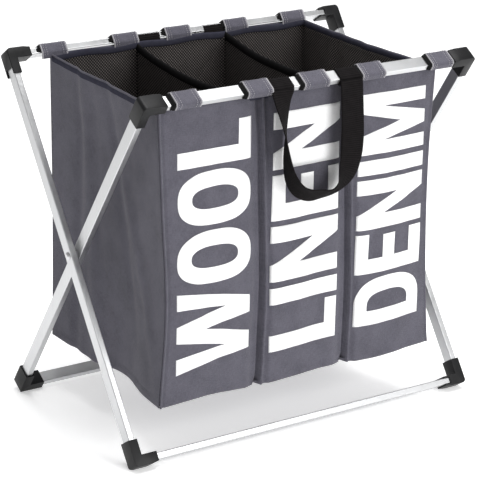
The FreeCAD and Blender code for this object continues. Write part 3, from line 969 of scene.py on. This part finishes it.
def makeHandle(front):
    side = "front" if front else "rear"
    sign = -1 if front else 1
    bar = frontBar if front else rearBar
    route = [Vector((x, bar.y + sign * out, z)) for x, out, z, turn in handles[side]]
    turns = [Vector((turn, 0)) for x, out, z, turn in handles[side]]
    steps = handles["steps"]

    def line(t):
        return smoothLine(route, t)

    def shape(u, v):
        turn = radians(smoothLine(turns, v).x)
        here = line(v)
        ahead = (line(min(v + 0.004, 1)) - line(max(v - 0.004, 0))).normalized()
        depth = Vector((0, sign, 0))
        flat = depth.cross(ahead).normalized() * sign
        across = flat * cos(turn) + depth * sin(turn)
        reach = (u - 0.5) * handles["width"]
        point = here + across * reach
        return point + depth * handles["width"] * handles["push"] * abs(sin(turn))
    bm = clothGrid(14, steps, (handles["width"], handles["length"]), shape)
    spans = [(line(k / steps) - line((k - 1) / steps)).length for k in range(1, steps + 1)]
    uv = bm.loops.layers.uv["cloth"]
    for face in bm.faces:
        for loop in face.loops:      # the ribs keep their spacing along the loop
            row = round(loop[uv].uv.y / handles["length"] * steps)
            loop[uv].uv = (loop[uv].uv.x, sum(spans[:row]))
    bmesh.ops.recalc_face_normals(bm, faces=bm.faces)
    bmesh.ops.solidify(bm, geom=bm.faces[:], thickness=handles["thickness"])
    return makePiece(f"{side}_handle_webbing", bm, finishes["webbing"], f"{side}_handle",
                     [f"{side}_handle"])


makeHandle(True)
makeHandle(False)
print("handles made")


# Print on the front.

# Plain fabric names, reading upwards: the text, X of its foot and head, Z of its start and end.
words = (
    ("WOOL", -0.1040, -0.2340, 0.135, 0.506),
    ("LINEN", 0.0590, -0.0655, 0.139, 0.505),
    ("DENIM", 0.2205, 0.0945, 0.147, 0.510),
)
letters = {
    "width": {"W": 1.32, "O": 0.86, "L": 0.66, "I": 0.27, "N": 0.86, "E": 0.70, "D": 0.84, "M": 1.04},
    "gap": 0.085,
    "stem": 0.255,      # thickness of upright strokes, against a letter height of 1
    "arm": 0.185,      # thickness of level strokes
    "ink": 0.0003,
    "lift": 0.0004,      # above the cloth
    "cell": (0.0045, 0.009),      # the print is cut this small across and along, to follow the cloth
    "round": 0.8,      # below 1 a round letter is squarer
}


def letterOutline(letter, w):
    # A straight letter's corners, or a round one's outer and inner loops, in a box w wide and 1 high.
    s, a = letters["stem"], letters["arm"]
    straight = {
        "L": [(0, 0), (w, 0), (w, a), (s, a), (s, 1), (0, 1)],
        "I": [(0, 0), (s, 0), (s, 1), (0, 1)],
        "E": [(0, 0), (w, 0), (w, a), (s, a), (s, 0.5 - a / 2), (w * 0.94, 0.5 - a / 2),
              (w * 0.94, 0.5 + a / 2), (s, 0.5 + a / 2), (s, 1 - a), (w, 1 - a), (w, 1), (0, 1)],
        "N": [(0, 0), (s, 0), (s, 0.60), (w - s, 0), (w, 0), (w, 1),
              (w - s, 1), (w - s, 0.40), (s, 1), (0, 1)],
        "M": [(0, 0), (s * 0.9, 0), (s * 0.9, 0.64), (w / 2 - 0.11, 0), (w / 2 + 0.11, 0),
              (w - s * 0.9, 0.64), (w - s * 0.9, 0), (w, 0), (w, 1), (w - s * 1.25, 1),
              (w / 2, 0.38), (s * 1.25, 1), (0, 1)],
        "W": [(0, 1), (w * 0.17, 0), (w * 0.17 + s * 1.1, 0), (w * 0.5, 0.62), (w * 0.83 - s * 1.1, 0),
              (w * 0.83, 0), (w, 1), (w - s * 1.02, 1), (w * 0.745, 0.34), (w * 0.5 + s * 0.52, 1),
              (w * 0.5 - s * 0.52, 1), (w * 0.255, 0.34), (s * 1.02, 1)],
    }
    if letter in straight:
        return [straight[letter]]
    full = letter == "O"
    cx = w / 2 if full else w * 0.40
    loops = []
    for inset, level in ((0.0, 0.0), (s, a)):
        loop = []
        for k in range(49 if not full else 64):
            angle = -pi / 2 + (2 * pi * k / 64 if full else pi * k / 48)
            c, d = cos(angle), sin(angle)
            x = abs(c) ** letters["round"] * (1 if c > 0 else -1) * (w - cx - inset)
            loop.append((cx + x, 0.5 + abs(d) ** letters["round"] * (1 if d > 0 else -1) * (0.5 - level)))
        loops.append(loop if full else [(inset, level), *loop, (inset, 1 - level)])
    return loops


def makeWord(text, foot, head, start, end):
    bm = bmesh.new()
    total = sum(letters["width"][c] + letters["gap"] for c in text) - letters["gap"]
    rise, run = head - foot, end - start
    along = 0.0
    for letter in text:
        made = []
        for loop in letterOutline(letter, letters["width"][letter]):
            spots = [(foot + rise * y, start + run * (along + x) / total, 0) for x, y in loop]
            made.append([bm.verts.new(spot) for spot in spots])
        if len(made) == 1:
            bm.faces.new(made[0])
        else:
            pairs = [(ring[k], ring[(k + 1) % len(ring)]) for ring in made for k in range(len(ring))]
            bmesh.ops.bridge_loops(bm, edges=[bm.edges.new(pair) for pair in pairs])
        along += letters["width"][letter] + letters["gap"]
    bm.normal_update()
    bmesh.ops.triangulate(bm, faces=bm.faces, ngon_method="EAR_CLIP")
    across, upward = letters["cell"]
    cuts = ((Vector((1, 0, 0)), min(foot, head), max(foot, head), across),
            (Vector((0, 1, 0)), start, end, upward))
    for normal, low, high, step in cuts:
        cut = low + step
        while cut < high:
            bmesh.ops.bisect_plane(bm, geom=bm.verts[:] + bm.edges[:] + bm.faces[:], dist=1e-7,
                                   plane_co=normal * cut, plane_no=normal)
            cut += step
    bmesh.ops.triangulate(bm, faces=bm.faces)
    uv = bm.loops.layers.uv.new("cloth")
    for face in bm.faces:
        for loop in face.loops:
            loop[uv].uv = loop.vert.co.xy
    for vert in bm.verts:
        x, z = vert.co.x, vert.co.y
        vert.co = frontPoint(x, (z - place["bottom"]) / height, letters["lift"])
    bmesh.ops.recalc_face_normals(bm, faces=bm.faces)
    if sum(f.normal.y * f.calc_area() for f in bm.faces) > 0:
        bmesh.ops.reverse_faces(bm, faces=bm.faces)
    word = makePiece(f"{text.lower()}_print", bm, finishes["ink"], "bag_front")
    thicken(word, letters["ink"])
    return folding(word)


for word in words:
    makeWord(*word)
print("print made")


# Stage.

view = {
    "from": (-1.8759, -2.6862, 1.3284),
    "yaw": 34.94, "pitch": 18.16, "roll": 0.94,      # degrees
    "lens": 163.5,
}
lamps = (      # name, place, size in metres, power in watts
    ("key", (1.1, -3.2, 1.6), 2.0, 70), ("side", (-3.0, -0.6, 1.2), 1.6, 1.5),
    ("top", (0.2, -0.2, 3.0), 1.8, 68), ("back", (1.0, 2.6, 1.8), 1.6, 14),
)


def floorFinish():
    pale = Finish("pale floor", (0.93, 0.93, 0.93), 0.9)
    pale.set("Specular IOR Level", 0.0)
    pale.set("Emission Color", (1, 1, 1, 1))
    pale.set("Emission Strength", 0.4)
    pale.tint(pale.noise(pale.coordinates(), 3, 2), (0.925, 0.925, 0.925), (0.935, 0.935, 0.935))
    return pale.material


def makeStage():
    bm = bmesh.new()
    bmesh.ops.create_grid(bm, x_segments=8, y_segments=8, size=6)
    floor = makePiece("floor", bm, floorFinish(), None)

    camera = bpy.data.objects.new("camera", bpy.data.cameras.new("camera"))
    bpy.context.scene.collection.objects.link(camera)
    camera.data.lens = view["lens"]
    yaw = Matrix.Rotation(radians(-view["yaw"]), 4, "Z")
    pitch = Matrix.Rotation(radians(90 - view["pitch"]), 4, "X")
    roll = Matrix.Rotation(radians(view["roll"]), 4, "Z")
    camera.matrix_world = Matrix.Translation(view["from"]) @ yaw @ pitch @ roll
    bpy.context.scene.camera = camera

    for name, spot, size, power in lamps:
        lamp = bpy.data.objects.new(name, bpy.data.lights.new(name, "AREA"))
        lamp.data.size = size
        lamp.data.energy = power
        bpy.context.scene.collection.objects.link(lamp)
        lamp.location = spot
        lamp.rotation_euler = (Vector((0, 0, 0.3)) - Vector(spot)).to_track_quat("-Z", "Y").to_euler()

    world = bpy.data.worlds.new("studio")
    world.use_nodes = True
    background = world.node_tree.nodes["Background"]
    background.inputs["Color"].default_value = (1, 1, 1, 1)
    background.inputs["Strength"].default_value = 0.4
    bpy.context.scene.world = world
    bpy.context.scene.view_settings.view_transform = "Standard"


makeStage()
print("scene ready")
